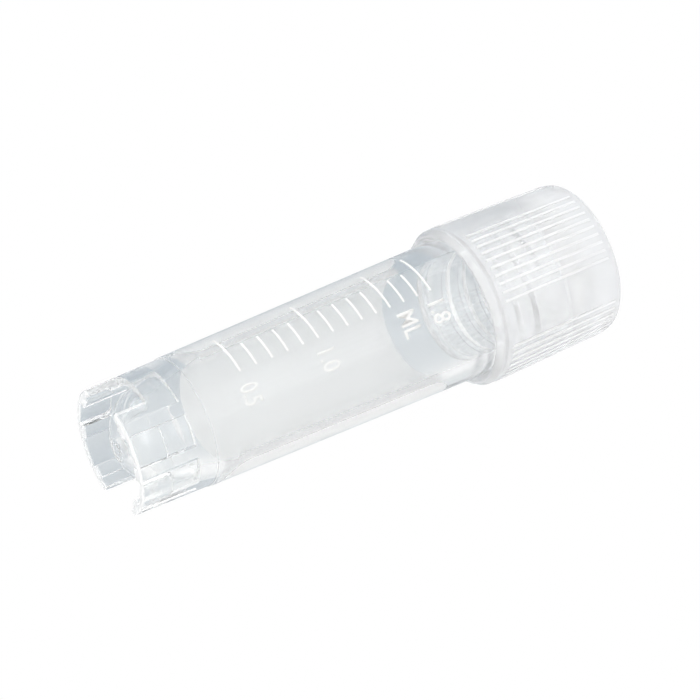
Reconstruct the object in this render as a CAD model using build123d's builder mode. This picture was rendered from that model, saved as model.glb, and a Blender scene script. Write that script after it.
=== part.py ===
from build123d import *
import math
import os

# Self-standing screw-cap cryogenic vial. Millimetres, +Z up, origin at the centre of the
# foot's standing plane, the vial's axis on Z. Azimuths are counted from -Y towards +X.

# Driving sizes
total_height = 48.0
body_foot_radius = 5.69     # outside of the tube, drawn down to the standing plane
draft = 0.0181              # radius gained per millimetre of height, outside and inside
wall = 1.5
rim_round = 0.2

# Foot
skirt_height = 7.1
skirt_inset = 0.08          # the skirt is set in from the tube's outside by this step
skirt_wall = 0.74
cavity_height = 5.6         # roof of the hollow between the skirt and the dome
gap_height = 3.0            # gaps between the standing walls, and the windows in them
arc_span = 123.0            # each of the two standing walls
foot_turn = 31.8            # azimuth of the middle of one standing wall
rib_step = 45.0
rib_width = 1.1
rib_depth = 1.05            # from the skirt's outside to the rib's inner face
rim_bevel = 0.12
window_margin = 0.16        # left on each side of a window, up to the ribs
window_round = 0.45
window_depth = 0.14

# Bottom of the tube
dome_rise = 0.6             # lowest point of the dome above the standing plane
dome_gap = 0.37             # between the dome and the skirt where the hollow is narrowest
floor_thickness = 1.15
floor_flat = 0.8            # radius of the flat in the middle of the floor
bore_taper_top = 9.6        # the bore narrows from here down to its round bottom
gate_outer = 1.1
gate_inner = 0.6
gate_depth = 0.2
gate_flat = 0.05            # trimmed off the middle

# Neck
neck_length = 8.3
neck_step = 0.72            # the neck's outside is this much inside the tube's
neck_wall = 0.8

# Thread, shared by the neck and the cap
thread_pitch = 1.75
thread_depth = 0.52
thread_clearance = 0.15
thread_lead = 1.4           # from the shoulder to the start of the neck's thread
ridge_base = 0.95
ridge_crest = 0.42
neck_thread_turns = 2.75
cap_thread_turns = 2.5
root_overlap = 0.12         # how far a ridge is sunk into its wall

# Sealing ring
seal_thickness = 0.9
seal_ledge = 0.25           # how far the ring reaches inside the neck's bore
seal_gap = 0.02

# Cap
cap_height = 13.6
cap_draft = 0.0201          # radius lost per millimetre of height
cap_mouth_clearance = 0.45  # between the cap's mouth and the tube
cap_mouth_wall = 0.52
cap_mouth_depth = 0.9
cap_lead_in = 0.5
cap_bevel = 0.33
cap_bevel_height = 0.56
cap_top_round = 0.6
cap_top_wall = 1.52         # round the recess in the top
cap_recess_depth = 2.3
cap_web = 1.56              # floor of that recess

# Grip ribs on the cap
grip_groups = 4
grip_ribs = 10
grip_step = 6.2
grip_turn = -18.9           # azimuth of the middle of one group
grip_width = 0.24
grip_height = 0.09
grip_rise = 1.5             # from the cap's lip to the foot of the ribs
grip_stop = 0.95            # from the top of the ribs to the cap's top
grip_reach = 1.0            # each rib's cut starts and ends this far from the cap's side

# Heights, from the top of the cap down
cap_lip_height = total_height - cap_height
cap_recess_floor = total_height - cap_recess_depth
cap_ceiling = cap_recess_floor - cap_web
seal_bottom = cap_ceiling - seal_gap - seal_thickness
rim_height = seal_bottom - seal_gap
shoulder_height = rim_height - neck_length
neck_thread_start = shoulder_height + thread_lead
grip_bottom = cap_lip_height + grip_rise
grip_top = total_height - grip_stop


def from_x(azimuth):
    """Angle counted from +X for an azimuth counted from -Y."""
    return azimuth - 90.0


def body_radius(height):
    return body_foot_radius + draft * height


def skirt_radius(height):
    return body_radius(height) - skirt_inset


skirt_bore = skirt_radius(cavity_height) - skirt_wall
dome_radius = skirt_bore - dome_gap
dome_centre = dome_rise + dome_radius
bore_bottom_radius = dome_radius - floor_thickness


def dome_width(height):
    """Outside radius of the dome at a height below its centre."""
    return math.sqrt(dome_radius**2 - (dome_centre - height) ** 2)


neck_radius = body_radius(shoulder_height) - neck_step
neck_bore_radius = neck_radius - neck_wall
neck_crest_radius = neck_radius + thread_depth
cap_thread_bore = neck_crest_radius + thread_clearance
seal_outer_radius = cap_thread_bore - thread_clearance
seal_bore_radius = neck_bore_radius - seal_ledge
cap_mouth_bore = body_radius(cap_lip_height) + cap_mouth_clearance
cap_mouth_radius = cap_mouth_bore + cap_mouth_wall
cap_bevel_top = cap_lip_height + cap_bevel_height


def cap_radius(height):
    """Outside radius of the cap above its bevelled mouth."""
    return cap_mouth_radius - cap_draft * (height - cap_bevel_top)


cap_recess_radius = cap_radius(total_height) - cap_top_wall

os.makedirs("parts", exist_ok=True)

# Vial: tube, dome, skirt with ribs and threaded neck are one moulding
with BuildPart() as vial:
    # Solid of the whole outside
    with BuildSketch(Plane.XZ):
        with BuildLine():
            Polyline(
                (0, 0),
                (skirt_radius(0) - rim_bevel, 0),
                (skirt_radius(0), rim_bevel),
                (skirt_radius(skirt_height), skirt_height),
                (body_radius(skirt_height), skirt_height),
                (body_radius(shoulder_height), shoulder_height),
                (neck_radius, shoulder_height),
                (neck_radius, rim_height),
                (0, rim_height),
                close=True,
            )
        make_face()
    revolve(axis=Axis.Z)

    # Rounded rim of the neck
    fillet(vial.edges().filter_by(GeomType.CIRCLE).group_by(Axis.Z)[-1], rim_round)

    # Hollow between the skirt and the dome
    with BuildSketch(Plane.XZ):
        Rectangle(skirt_bore, cavity_height, align=(Align.MIN, Align.MIN))
        with Locations((0, dome_centre)):
            Circle(dome_radius, mode=Mode.SUBTRACT)
            Rectangle(dome_radius, dome_centre, align=(Align.MIN, Align.MIN), mode=Mode.SUBTRACT)
    revolve(axis=Axis.Z, mode=Mode.SUBTRACT)

    # Two gaps that leave two standing walls
    half_gap = (180.0 - arc_span) / 2.0
    gap_reach = body_radius(gap_height) + root_overlap
    gap_half_width = gap_reach * math.tan(math.radians(half_gap))
    with BuildSketch(Plane.XY):
        with PolarLocations(0, 2, from_x(foot_turn + 90.0)):
            Polygon((0, 0), (gap_reach, -gap_half_width), (gap_reach, gap_half_width))
        Circle(dome_width(gap_height) + root_overlap, mode=Mode.SUBTRACT)
    extrude(amount=gap_height, mode=Mode.SUBTRACT)

    # Windows with round corners, thinned from inside, between the ribs
    rib_chord = 2.0 * skirt_bore * math.tan(math.radians(rib_step / 2.0))
    window_width = rib_chord - rib_width - 2.0 * window_margin
    for side in (0.0, 180.0):
        for half_step in (-rib_step / 2.0, rib_step / 2.0):
            facing = Plane.XZ.rotated((0, 0, foot_turn + side + half_step))
            with BuildSketch(facing.offset(skirt_bore + window_depth)):
                RectangleRounded(window_width, 2.0 * gap_height, window_round)
            extrude(amount=-skirt_wall, mode=Mode.SUBTRACT)

    # Ribs inside the standing walls, three to a wall
    rib_inner = skirt_radius(0) - rib_depth
    rib_outer = skirt_bore + root_overlap
    rib_middle = (rib_inner + rib_outer) / 2.0
    with BuildSketch(Plane.XY):
        for side in (0.0, 180.0):
            first_rib = from_x(foot_turn + side - rib_step)
            with PolarLocations(rib_middle, 3, first_rib, 2.0 * rib_step, endpoint=True):
                Rectangle(rib_outer - rib_inner, rib_width)
    extrude(amount=cavity_height)

    # Bore with a rounded bottom and a small flat floor
    floor_angle = math.degrees(math.asin(floor_flat / bore_bottom_radius))
    with BuildSketch(Plane.XZ):
        with BuildLine():
            bottom = CenterArc(
                (0, dome_centre), bore_bottom_radius, 270 + floor_angle, 90 - floor_angle
            )
            Polyline(
                bottom @ 1,
                (body_radius(bore_taper_top) - wall, bore_taper_top),
                (neck_bore_radius, shoulder_height),
                (neck_bore_radius, rim_height),
                (0, rim_height),
                (0, (bottom @ 0).Y),
                bottom @ 0,
            )
        make_face()
    revolve(axis=Axis.Z, mode=Mode.SUBTRACT)

    # Ring and flat left by the moulding gate under the dome
    with BuildSketch(Plane.XY):
        Circle(gate_outer)
        Circle(gate_inner, mode=Mode.SUBTRACT)
    extrude(amount=dome_rise + gate_depth, mode=Mode.SUBTRACT)
    with BuildSketch(Plane.XY):
        Circle(gate_outer)
    extrude(amount=dome_rise + gate_flat, mode=Mode.SUBTRACT)

    # Thread on the neck
    neck_turn_height = neck_thread_turns * thread_pitch
    with BuildLine():
        neck_path = Helix(
            thread_pitch, neck_turn_height, neck_radius, center=(0, 0, neck_thread_start)
        )
    with BuildSketch(Plane(origin=neck_path @ 0, x_dir=(1, 0, 0), z_dir=neck_path % 0)):
        with BuildLine():
            Polyline(
                (-root_overlap, -ridge_base / 2),
                (0, -ridge_base / 2),
                (thread_depth, -ridge_crest / 2),
                (thread_depth, ridge_crest / 2),
                (0, ridge_base / 2),
                (-root_overlap, ridge_base / 2),
                close=True,
            )
        make_face()
    sweep(path=neck_path, is_frenet=True)

vial.part.label = "vial"
export_step(vial.part, "parts/vial.step")

# Sealing ring: flat soft washer that lies on the neck's rim inside the cap
with BuildPart() as sealing_ring:
    with BuildSketch(Plane.XY.offset(seal_bottom)):
        Circle(seal_outer_radius)
        Circle(seal_bore_radius, mode=Mode.SUBTRACT)
    extrude(amount=seal_thickness)

sealing_ring.part.label = "sealing_ring"
export_step(sealing_ring.part, "parts/sealing_ring.step")

# Cap: one moulding with a bevelled mouth, an inside thread, grip ribs and a recessed top
with BuildPart() as cap:
    # Grip ribs, cut from a thin tapered band
    with BuildSketch(Plane.XZ):
        with BuildLine():
            Polyline(
                (cap_radius(grip_bottom) - root_overlap, grip_bottom),
                (cap_radius(grip_bottom) + grip_height, grip_bottom),
                (cap_radius(grip_top) + grip_height, grip_top),
                (cap_radius(grip_top) - root_overlap, grip_top),
                close=True,
            )
        make_face()
    revolve(axis=Axis.Z)
    grip_span = (grip_ribs - 1) * grip_step
    with BuildSketch(Plane.XY.offset(grip_bottom)):
        for group in range(grip_groups):
            first_rib = from_x(grip_turn + group * 360.0 / grip_groups) - grip_span / 2.0
            with PolarLocations(cap_mouth_radius, grip_ribs, first_rib, grip_span, endpoint=True):
                Rectangle(2.0 * grip_reach, grip_width)
    extrude(amount=grip_top - grip_bottom, mode=Mode.INTERSECT)

    # Shell
    with BuildSketch(Plane.XZ):
        with BuildLine():
            Polyline(
                (cap_mouth_bore, cap_lip_height),
                (cap_mouth_radius - cap_bevel, cap_lip_height),
                (cap_mouth_radius, cap_bevel_top),
                (cap_radius(total_height), total_height),
                (cap_recess_radius, total_height),
                (cap_recess_radius, cap_recess_floor),
                (0, cap_recess_floor),
                (0, cap_ceiling),
                (cap_thread_bore, cap_ceiling),
                (cap_thread_bore, cap_lip_height + cap_mouth_depth + cap_lead_in),
                (cap_mouth_bore, cap_lip_height + cap_mouth_depth),
                close=True,
            )
        make_face()
    revolve(axis=Axis.Z)

    # Rounded outer edge of the top
    top_edges = cap.edges().filter_by(GeomType.CIRCLE).group_by(Axis.Z)[-1]
    fillet(top_edges.sort_by(SortBy.RADIUS)[-1], cap_top_round)

    # Thread inside, half a pitch above the neck's
    cap_turn_height = cap_thread_turns * thread_pitch
    cap_thread_start = neck_thread_start + thread_pitch / 2
    with BuildLine():
        cap_path = Helix(
            thread_pitch, cap_turn_height, cap_thread_bore, center=(0, 0, cap_thread_start)
        )
    with BuildSketch(Plane(origin=cap_path @ 0, x_dir=(1, 0, 0), z_dir=cap_path % 0)):
        with BuildLine():
            Polyline(
                (root_overlap, -ridge_base / 2),
                (0, -ridge_base / 2),
                (-thread_depth, -ridge_crest / 2),
                (-thread_depth, ridge_crest / 2),
                (0, ridge_base / 2),
                (root_overlap, ridge_base / 2),
                close=True,
            )
        make_face()
    sweep(path=cap_path, is_frenet=True)

cap.part.label = "cap"
export_step(cap.part, "parts/cap.step")
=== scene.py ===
import math

import bpy
from mathutils import Matrix, Vector


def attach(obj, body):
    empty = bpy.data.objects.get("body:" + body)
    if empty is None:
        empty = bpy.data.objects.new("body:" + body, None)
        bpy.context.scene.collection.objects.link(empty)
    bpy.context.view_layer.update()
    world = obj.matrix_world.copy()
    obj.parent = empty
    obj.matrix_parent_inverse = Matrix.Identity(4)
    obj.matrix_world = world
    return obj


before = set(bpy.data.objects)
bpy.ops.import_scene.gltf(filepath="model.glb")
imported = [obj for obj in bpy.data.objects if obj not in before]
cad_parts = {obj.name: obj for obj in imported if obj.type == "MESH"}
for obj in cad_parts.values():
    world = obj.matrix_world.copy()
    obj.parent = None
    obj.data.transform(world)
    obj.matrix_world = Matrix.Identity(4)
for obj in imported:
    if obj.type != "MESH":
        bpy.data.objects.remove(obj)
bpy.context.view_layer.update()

# ---------------------------------------------------------------------------------------
# Vial: the tube, its round bottom, the star foot and the threaded neck are one moulding in
# natural polypropylene, shot into polished steel from a gate under the dome.

MM = 0.001
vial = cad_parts["vial"]
polypropylene_ior = 1.49
noise_low = 0.3
noise_high = 0.7


def linear(hex_colour):
    """An sRGB colour such as "E8EEF0" as linear red, green, blue and 1, by the sRGB curve."""
    channels = [int(hex_colour[i:i + 2], 16) / 255 for i in (0, 2, 4)]
    return [c / 12.92 if c <= 0.04045 else ((c + 0.055) / 1.055) ** 2.4 for c in channels] + [1.0]


def add(tree, kind, links=None, **settings):
    """Adds a node; settings are its properties, links its inputs as values or sockets."""
    made = tree.nodes.new(kind)
    for name, value in settings.items():
        setattr(made, name, value)
    for name, value in (links or {}).items():
        socket = made.inputs[name]
        if isinstance(value, bpy.types.NodeSocket):
            tree.links.new(value, socket)
        else:
            socket.default_value = value
    return made


def blend(tree, share, first, second):
    """The first colour, turning into the second as share goes from 0 to 1."""
    mixed = add(tree, "ShaderNodeMix", {
        "Factor": share, "A": first, "B": second}, data_type="RGBA")
    return mixed.outputs["Result"]


def ramp(tree, value, start, end, first, last):
    """A number that goes from first to last as value goes from start to end."""
    mapped = add(tree, "ShaderNodeMapRange", {
        "Value": value, "From Min": start, "From Max": end, "To Min": first, "To Max": last})
    return mapped.outputs["Result"]


def blank_material(name):
    """A material with nothing in its node tree yet, and that tree."""
    material = bpy.data.materials.new(name)
    material.use_nodes = True
    material.node_tree.nodes.clear()
    return material, material.node_tree


# Natural polypropylene, injection moulded against polished steel: clear but faintly milky,
# with a smooth skin that ripples a little along the flow and a soft haze. The rim of the
# foot, which it stands on, is made milkier and so whiter at its bottom: a painted highlight.
def natural_polypropylene():
    flow_length = 9 * MM
    squeeze = 3.0
    polished = 0.04
    hazy = 0.08
    # Painted highlight: below these heights the foot's rim is less clear, so it shows whiter.
    rim_highlight_foot = 0.08 * MM
    rim_highlight_top = 0.25 * MM
    rim_highlight_clearness = 0.3
    clear = 0.97
    material, tree = blank_material("natural_polypropylene")
    place = add(tree, "ShaderNodeTexCoord").outputs["Object"]
    flow = add(tree, "ShaderNodeMapping", {"Vector": place, "Scale": (squeeze, squeeze, 1.0)})
    ripple = add(tree, "ShaderNodeTexNoise", {
        "Vector": flow.outputs["Vector"], "Scale": 1 / flow_length, "Detail": 2.0})
    skin = add(tree, "ShaderNodeBump", {
        "Height": ripple.outputs["Fac"], "Strength": 0.25, "Distance": 0.03 * MM})
    axes = add(tree, "ShaderNodeSeparateXYZ", {"Vector": place})
    body = add(tree, "ShaderNodeBsdfPrincipled", {
        "Base Color": blend(tree, ripple.outputs["Fac"], linear("FFFFFF"), linear("FDFEFE")),
        "Roughness": ramp(tree, ripple.outputs["Fac"], noise_low, noise_high, polished, hazy),
        "Normal": skin.outputs["Normal"], "IOR": polypropylene_ior,
        "Transmission Weight": ramp(
            tree, axes.outputs["Z"], rim_highlight_foot, rim_highlight_top, rim_highlight_clearness, clear)})
    depth = add(tree, "ShaderNodeVolumeAbsorption", {"Color": linear("CDD6DF"), "Density": 3.0})
    add(tree, "ShaderNodeOutputMaterial", {
        "Surface": body.outputs["BSDF"], "Volume": depth.outputs["Volume"]})
    return material


vial.data.materials[0] = natural_polypropylene()

# ---------------------------------------------------------------------------------------
# Graduations: white ink printed on the tube, in fourteen lines a nominal tenth of a
# millilitre apart (0.095 ml in this bore), with figures to the right of them. Volumes are
# in tenths of a millilitre, and azimuths in degrees round the axis from the front.

ink_thickness = 0.02 * MM
ink_gap = 0.008 * MM
line_width = 0.2 * MM
line_end = -20.8
long_start = -65.1
short_start = -45.3
sweep_steps = 24
first_volume = 5
last_volume = 18
long_volumes = (5, 10, 15, 18)
first_mark = 11.43 * MM
step_volume = 95.0 * MM**3
tube_foot_radius = 5.69 * MM
bore_foot_radius = 4.19 * MM
draft = 0.0181


def tube_radius(height):
    return tube_foot_radius + draft * height


def mark_heights():
    """Each step holds the same volume, so the lines draw together as the bore widens."""
    heights = {first_volume: first_mark}
    for volume in range(first_volume, last_volume):
        bore = bore_foot_radius + draft * heights[volume]
        heights[volume + 1] = heights[volume] + step_volume / (math.pi * bore**2)
    return heights


def printing_ink():
    pinhole_size = 0.2 * MM
    material, tree = blank_material("white_printing_ink")
    place = add(tree, "ShaderNodeTexCoord").outputs["Object"]
    pinholes = add(tree, "ShaderNodeTexNoise", {"Vector": place, "Scale": 1 / pinhole_size})
    body = add(tree, "ShaderNodeBsdfPrincipled", {
        "Base Color": blend(tree, pinholes.outputs["Fac"], linear("FAFAF9"), linear("F2F2F0")),
        "Roughness": 0.45})
    add(tree, "ShaderNodeOutputMaterial", {"Surface": body.outputs["BSDF"]})
    return material


ink = printing_ink()


def graduation_line(name, start, height):
    """A flat strip of ink swept round the tube from azimuth start to the common end."""
    radius = tube_radius(height) + ink_gap
    turn = math.radians(line_end - start)
    bpy.ops.object.select_all(action="DESELECT")
    bpy.ops.mesh.primitive_plane_add(
        size=1, location=(0, -(radius + ink_thickness / 2), height), rotation=(0, math.pi / 2, 0))
    line = bpy.context.object
    line.name = name
    line.scale = (line_width, ink_thickness, 1)
    bpy.ops.object.transform_apply(location=True, rotation=True, scale=True)
    line.data.transform(Matrix.Rotation(math.radians(start), 4, "Z"))
    bpy.ops.object.mode_set(mode="EDIT")
    bpy.ops.mesh.select_all(action="SELECT")
    bpy.ops.mesh.spin(steps=sweep_steps, angle=-turn, center=(0, 0, height), axis=(0, 0, 1))
    bpy.ops.mesh.select_all(action="SELECT")
    bpy.ops.mesh.normals_make_consistent(inside=False)
    bpy.ops.object.mode_set(mode="OBJECT")
    return line


marks = mark_heights()
lines = []
for volume, height in marks.items():
    start = long_start if volume in long_volumes else short_start
    lines.append(graduation_line(f"line_{volume}", start, height))
bpy.ops.object.select_all(action="DESELECT")
for line in lines:
    line.select_set(True)
bpy.context.view_layer.objects.active = lines[0]
bpy.ops.object.join()
graduation_lines = bpy.context.object
graduation_lines.name = "graduation_lines"
graduation_lines.data.materials.append(ink)
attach(graduation_lines, "vial")

figure_height = 1.7 * MM
figure_gap = 2 * ink_gap
stroke_swell = 0.014
curve_steps = 6
figure_strips = 12
standoff = 1 * MM


def figure(text, azimuth, height, width):
    """Text cut flat in front of the tube, in strips that can follow its round, and then
    dropped straight back on to it and thickened."""
    bpy.ops.object.select_all(action="DESELECT")
    bpy.ops.object.text_add(rotation=(math.pi / 2, 0, 0))
    letters = bpy.context.object
    letters.data.body = text
    letters.data.align_x = "CENTER"
    letters.data.align_y = "CENTER"
    letters.data.offset = stroke_swell
    letters.data.resolution_u = curve_steps
    bpy.ops.object.convert(target="MESH")
    letters = bpy.context.object
    bpy.ops.object.transform_apply(location=True, rotation=True, scale=True)
    low = [min(v.co[k] for v in letters.data.vertices) for k in range(3)]
    high = [max(v.co[k] for v in letters.data.vertices) for k in range(3)]
    letters.data.transform(Matrix.Translation(
        (-(low[0] + high[0]) / 2, 0, -(low[2] + high[2]) / 2)))
    letters.data.transform(Matrix.Diagonal(
        (width / (high[0] - low[0]), 1, figure_height / (high[2] - low[2]), 1)))
    bpy.ops.object.mode_set(mode="EDIT")
    for cut in range(1, figure_strips):
        bpy.ops.mesh.select_all(action="SELECT")
        bpy.ops.mesh.bisect(
            plane_co=(width * (cut / figure_strips - 0.5), 0, 0), plane_no=(1, 0, 0))
    bpy.ops.object.mode_set(mode="OBJECT")
    letters.data.transform(Matrix.Translation((0, -tube_radius(height) - standoff, height)))
    letters.data.transform(Matrix.Rotation(math.radians(azimuth), 4, "Z"))
    wrap = letters.modifiers.new("wrap", "SHRINKWRAP")
    wrap.target = vial
    wrap.wrap_method = "PROJECT"
    wrap.use_project_y = True
    wrap.use_positive_direction = True
    wrap.offset = figure_gap
    bpy.ops.object.modifier_apply(modifier="wrap")
    coat = letters.modifiers.new("coat", "SOLIDIFY")
    coat.thickness = ink_thickness
    coat.offset = 1
    bpy.ops.object.modifier_apply(modifier="coat")
    letters.data.materials.clear()
    letters.data.materials.append(ink)
    return letters


for name, text, azimuth, height, width in (
    ("figure_0.5", "0.5", 0.0, marks[5], 1.85 * MM),
    ("figure_1.0", "1.0", -0.5, marks[10], 1.85 * MM),
    ("figure_1.8", "1.8", -2.0, marks[18] - 0.15 * MM, 1.95 * MM),
    ("unit_ml", "ML", -2.0, 27.2 * MM, 2.3 * MM),
):
    letters = figure(text, azimuth, height, width)
    letters.name = name
    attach(letters, "vial")

# ---------------------------------------------------------------------------------------
# Writing patch: a coat of white ink with rounded corners on the back of the tube, for notes
# in pencil. The eye also meets it from the front, through the clear tube.

patch_foot = 8.2 * MM
patch_top = 30.3 * MM
patch_turn = math.radians(244)
patch_corner = 2.2 * MM
corner_steps = 10
patch_strips = 80
ink_sink = 0.01 * MM


def writing_ink():
    tooth_size = 0.15 * MM
    cloud_size = 3 * MM
    let_through = 0.4
    material, tree = blank_material("matt_writing_ink")
    place = add(tree, "ShaderNodeTexCoord").outputs["Object"]
    tooth = add(tree, "ShaderNodeTexNoise", {
        "Vector": place, "Scale": 1 / tooth_size, "Detail": 2.0})
    clouds = add(tree, "ShaderNodeTexNoise", {
        "Vector": place, "Scale": 1 / cloud_size, "Detail": 1.0})
    tone = blend(tree, clouds.outputs["Fac"], linear("FDFDFD"), linear("FBFBFB"))
    rough = add(tree, "ShaderNodeBump", {
        "Height": tooth.outputs["Fac"], "Strength": 0.4, "Distance": 0.01 * MM})
    body = add(tree, "ShaderNodeBsdfPrincipled", {
        "Base Color": tone, "Roughness": 0.8, "Normal": rough.outputs["Normal"]})
    through = add(tree, "ShaderNodeBsdfTranslucent", {
        "Color": tone, "Normal": rough.outputs["Normal"]})
    sheet = add(tree, "ShaderNodeMixShader", {
        0: let_through, 1: body.outputs["BSDF"], 2: through.outputs["BSDF"]})
    add(tree, "ShaderNodeOutputMaterial", {"Surface": sheet.outputs["Shader"]})
    return material


patch_middle = (patch_foot + patch_top) / 2
patch_radius = tube_radius(patch_middle) + ink_gap
patch_width = patch_turn * patch_radius
bpy.ops.object.select_all(action="DESELECT")
bpy.ops.mesh.primitive_plane_add(size=1, rotation=(math.pi / 2, 0, 0))
writing_patch = bpy.context.object
writing_patch.name = "writing_patch"
writing_patch.scale = (patch_width, patch_top - patch_foot, 1)
bpy.ops.object.transform_apply(location=True, rotation=True, scale=True)
bpy.ops.object.mode_set(mode="EDIT")
bpy.ops.mesh.select_all(action="SELECT")
bpy.ops.mesh.bevel(offset=patch_corner, segments=corner_steps, affect="VERTICES")
for cut in range(1, patch_strips):
    bpy.ops.mesh.select_all(action="SELECT")
    bpy.ops.mesh.bisect(
        plane_co=(patch_width * (cut / patch_strips - 0.5), 0, 0), plane_no=(1, 0, 0))
bpy.ops.object.mode_set(mode="OBJECT")
bend = writing_patch.modifiers.new("bend", "SIMPLE_DEFORM")
bend.deform_method = "BEND"
bend.deform_axis = "Z"
bend.angle = -patch_turn
bpy.ops.object.modifier_apply(modifier="bend")
writing_patch.data.transform(Matrix.Translation((0, patch_radius, patch_middle)))
hug = writing_patch.modifiers.new("hug", "SHRINKWRAP")
hug.target = vial
hug.wrap_method = "NEAREST_SURFACEPOINT"
hug.wrap_mode = "OUTSIDE_SURFACE"
hug.offset = -ink_sink
bpy.ops.object.modifier_apply(modifier="hug")
coat = writing_patch.modifiers.new("coat", "SOLIDIFY")
coat.thickness = ink_thickness + ink_sink
coat.offset = 1
bpy.ops.object.modifier_apply(modifier="coat")
writing_patch.data.materials.append(writing_ink())
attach(writing_patch, "vial")

# ---------------------------------------------------------------------------------------
# Sealing ring: a flat washer stamped from silicone sheet, soft and matt. It lies between
# the rim of the neck and the cap.

sealing_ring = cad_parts["sealing_ring"]


def silicone():
    grain_size = 0.3 * MM
    material, tree = blank_material("translucent_silicone")
    place = add(tree, "ShaderNodeTexCoord").outputs["Object"]
    grain = add(tree, "ShaderNodeTexNoise", {"Vector": place, "Scale": 1 / grain_size})
    matt = add(tree, "ShaderNodeMapRange", {
        "Value": grain.outputs["Fac"], "To Min": 0.45, "To Max": 0.6})
    body = add(tree, "ShaderNodeBsdfPrincipled", {
        "Base Color": blend(tree, grain.outputs["Fac"], linear("FDFDFD"), linear("F8F9F9")),
        "Roughness": matt.outputs["Result"], "IOR": 1.41, "Transmission Weight": 0.5})
    add(tree, "ShaderNodeOutputMaterial", {"Surface": body.outputs["BSDF"]})
    return material


sealing_ring.data.materials[0] = silicone()

# ---------------------------------------------------------------------------------------
# Cap: one moulding in natural polypropylene with thicker walls, so milkier than the tube,
# with fine grip ribs outside and a thread inside. It screws on to the neck.

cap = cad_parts["cap"]
mouth_height = 34.96 * MM
mouth_radius = 7.283 * MM
cap_draft = 0.0201
grip_height = 0.09 * MM
crown_foot = 42 * MM
crown_top = 45 * MM
wall_clearness = 0.76
rib_highlight_clearness = 0.4
crown_clearness = 0.56


# Natural polypropylene in a spark-eroded mould: milky and satin outside, milkier still near
# the closed end. The thin grip ribs, which stand proud of the drafted skirt, are made
# milkier and so whiter: a painted highlight for the light they catch.
def milky_polypropylene():
    cloud_size = 4 * MM
    satin = 0.2
    satin_hazy = 0.24
    rib_highlight_start = 0.3 * grip_height
    rib_highlight_end = 0.8 * grip_height
    material, tree = blank_material("milky_polypropylene")
    place = add(tree, "ShaderNodeTexCoord").outputs["Object"]
    clouds = add(tree, "ShaderNodeTexNoise", {
        "Vector": place, "Scale": 1 / cloud_size, "Detail": 3.0})
    skin = add(tree, "ShaderNodeBump", {
        "Height": clouds.outputs["Fac"], "Strength": 0.2, "Distance": 0.05 * MM})
    axes = add(tree, "ShaderNodeSeparateXYZ", {"Vector": place})
    across = add(tree, "ShaderNodeCombineXYZ", {"X": axes.outputs["X"], "Y": axes.outputs["Y"]})
    radius = add(tree, "ShaderNodeVectorMath", {0: across.outputs["Vector"]}, operation="LENGTH")
    skirt = add(tree, "ShaderNodeMath", {
        0: axes.outputs["Z"], 1: -cap_draft, 2: mouth_radius + cap_draft * mouth_height},
        operation="MULTIPLY_ADD")
    proud = add(tree, "ShaderNodeMath", {
        0: radius.outputs["Value"], 1: skirt.outputs["Value"]}, operation="SUBTRACT")
    # Painted highlight: where the surface stands proud of the skirt, on the grip ribs, it is less
    # clear and so whiter.
    painted_rib_highlight = ramp(tree, proud.outputs["Value"], rib_highlight_start, rib_highlight_end, wall_clearness, rib_highlight_clearness)
    crown = ramp(tree, axes.outputs["Z"], crown_foot, crown_top, wall_clearness, crown_clearness)
    clearness = add(tree, "ShaderNodeMath", {0: painted_rib_highlight, 1: crown}, operation="MINIMUM")
    body = add(tree, "ShaderNodeBsdfPrincipled", {
        "Base Color": blend(tree, clouds.outputs["Fac"], linear("FFFFFF"), linear("FDFDFE")),
        "Roughness": ramp(tree, clouds.outputs["Fac"], noise_low, noise_high, satin, satin_hazy),
        "Normal": skin.outputs["Normal"], "IOR": polypropylene_ior,
        "Transmission Weight": clearness.outputs["Value"]})
    depth = add(tree, "ShaderNodeVolumeAbsorption", {"Color": linear("DCE0E6"), "Density": 6.0})
    add(tree, "ShaderNodeOutputMaterial", {
        "Surface": body.outputs["BSDF"], "Volume": depth.outputs["Volume"]})
    return material


cap.data.materials[0] = milky_polypropylene()

# ---------------------------------------------------------------------------------------
# Floor: a pale matt board a hair below the foot, seen from above only, and by the eye
# only, so that the light of the room still reaches the foot from below.

floor_radius = 1.2
floor_sides = 96
floor_drop = 0.03 * MM
bpy.ops.object.select_all(action="DESELECT")
bpy.ops.mesh.primitive_circle_add(
    vertices=floor_sides, radius=floor_radius, fill_type="NGON", location=(0, 0, -floor_drop))
bpy.ops.object.transform_apply(location=True, rotation=True, scale=True)
floor = bpy.context.object
floor.name = "floor"


def pale_board():
    material, tree = blank_material("pale_board")
    side = add(tree, "ShaderNodeNewGeometry").outputs["Backfacing"]
    seen = add(tree, "ShaderNodeLightPath").outputs["Is Camera Ray"]
    shown = add(tree, "ShaderNodeMath", {0: seen, 1: side}, operation="SUBTRACT", use_clamp=True)
    board = add(tree, "ShaderNodeBsdfDiffuse", {"Color": linear("F3F3F1")})
    clear = add(tree, "ShaderNodeBsdfTransparent")
    mixed = add(tree, "ShaderNodeMixShader", {
        0: shown.outputs["Value"], 1: clear.outputs["BSDF"], 2: board.outputs["BSDF"]})
    add(tree, "ShaderNodeOutputMaterial", {"Surface": mixed.outputs["Shader"]})
    return material


floor.data.materials.append(pale_board())

# ---------------------------------------------------------------------------------------
# Room: white to the eye and nearly so to matt surfaces. What the plastic bends and mirrors
# is darker and cooler behind, to the left and above, and in front it is brighter than
# white, as if a soft box stood there.

unlit_side = (-0.57, 0.75, 0.34)
unlit_start = 0.3
unlit_end = 0.95
front_side = (0, -1, 0)
front_start = 0.1
front_end = 0.7
front_light = (1.13, 1.12, 1.11, 1.0)

world = bpy.data.worlds.new("studio")
bpy.context.scene.world = world
world.use_nodes = True
tree = world.node_tree
tree.nodes.clear()
direction = add(tree, "ShaderNodeTexCoord").outputs["Generated"]


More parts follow.
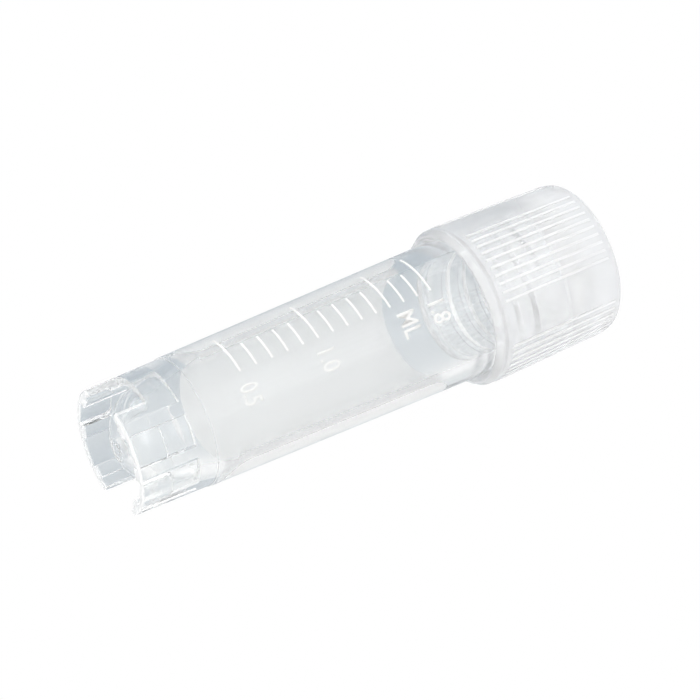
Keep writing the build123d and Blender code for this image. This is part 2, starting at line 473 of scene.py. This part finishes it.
def towards(side, start, end):
    """0 to 1 as a ray turns towards one side of the room."""
    along = add(tree, "ShaderNodeVectorMath", {
        0: direction, 1: Vector(side).normalized()}, operation="DOT_PRODUCT")
    return ramp(tree, along.outputs["Value"], start, end, 0.0, 1.0)


path = add(tree, "ShaderNodeLightPath").outputs
room = linear("F8F9F9")
for share, light in (
    (towards(unlit_side, unlit_start, unlit_end), linear("B8C1C8")),
    (towards(front_side, front_start, front_end), front_light),
    (path["Is Diffuse Ray"], linear("F5F5F5")),
    (path["Is Camera Ray"], linear("FFFFFF")),
):
    room = blend(tree, share, room, light)
background = add(tree, "ShaderNodeBackground", {"Color": room, "Strength": 1.0})
add(tree, "ShaderNodeOutputWorld", {"Surface": background.outputs["Background"]})

# ---------------------------------------------------------------------------------------
# Lamps: a large soft one in front, a little above and to the left; one at each side, out
# past the edge of the floor and hidden from rays that come through the plastic; and a small
# weak one below. The last value says whether it shows through the plastic.

middle = (0, 0, 0.024)
foot = (0, 0, 0)
for name, place, aim, size, energy, shows_through in (
    ("key", (-0.22, -1.32, 0.44), middle, 1.32, 2.2, True),
    ("side_light", (-1.5, 0.0, -0.28), middle, 1.07, 6.5, False),
    ("fill_light", (1.5, 0.0, -0.28), middle, 1.07, 3.0, False),
    ("foot_light", (0.06, -0.2, -0.4), foot, 0.15, 0.15, True),
):
    bpy.ops.object.select_all(action="DESELECT")
    bpy.ops.object.light_add(type="AREA", location=place)
    lamp = bpy.context.object
    lamp.name = name
    lamp.data.size = size
    lamp.data.energy = energy
    lamp.visible_transmission = shows_through
    lamp.rotation_euler = (Vector(aim) - lamp.location).to_track_quat("-Z", "Y").to_euler()

# ---------------------------------------------------------------------------------------
# Camera: close to the object, below its foot, turned so that the vial lies aslant. Light
# goes through many walls of clear plastic, so rays of every kind may bounce often.

eye = Vector((0, -219.127, -75.55)) * MM
aim = Vector((-0.19, 0, 23.87)) * MM
roll = math.radians(67.26)
forward = (aim - eye).normalized()
level = forward.cross(Vector((0, 0, 1))).normalized()
upright = level.cross(forward)
right = math.cos(roll) * level + math.sin(roll) * upright
up = -math.sin(roll) * level + math.cos(roll) * upright
bpy.ops.object.camera_add()
camera = bpy.context.object
camera.matrix_world = Matrix.Translation(eye) @ Matrix((right, up, -forward)).transposed().to_4x4()
camera.data.lens = 143.14
camera.data.sensor_width = 36.0
camera.data.clip_start = 0.01
camera.data.clip_end = 10.0
bpy.context.scene.camera = camera

bounces = 64
scene = bpy.context.scene
scene.view_settings.view_transform = "Standard"
scene.cycles.max_bounces = bounces
scene.cycles.diffuse_bounces = bounces
scene.cycles.transmission_bounces = bounces
scene.cycles.transparent_max_bounces = bounces
scene.cycles.glossy_bounces = bounces
scene.cycles.blur_glossy = 0.0
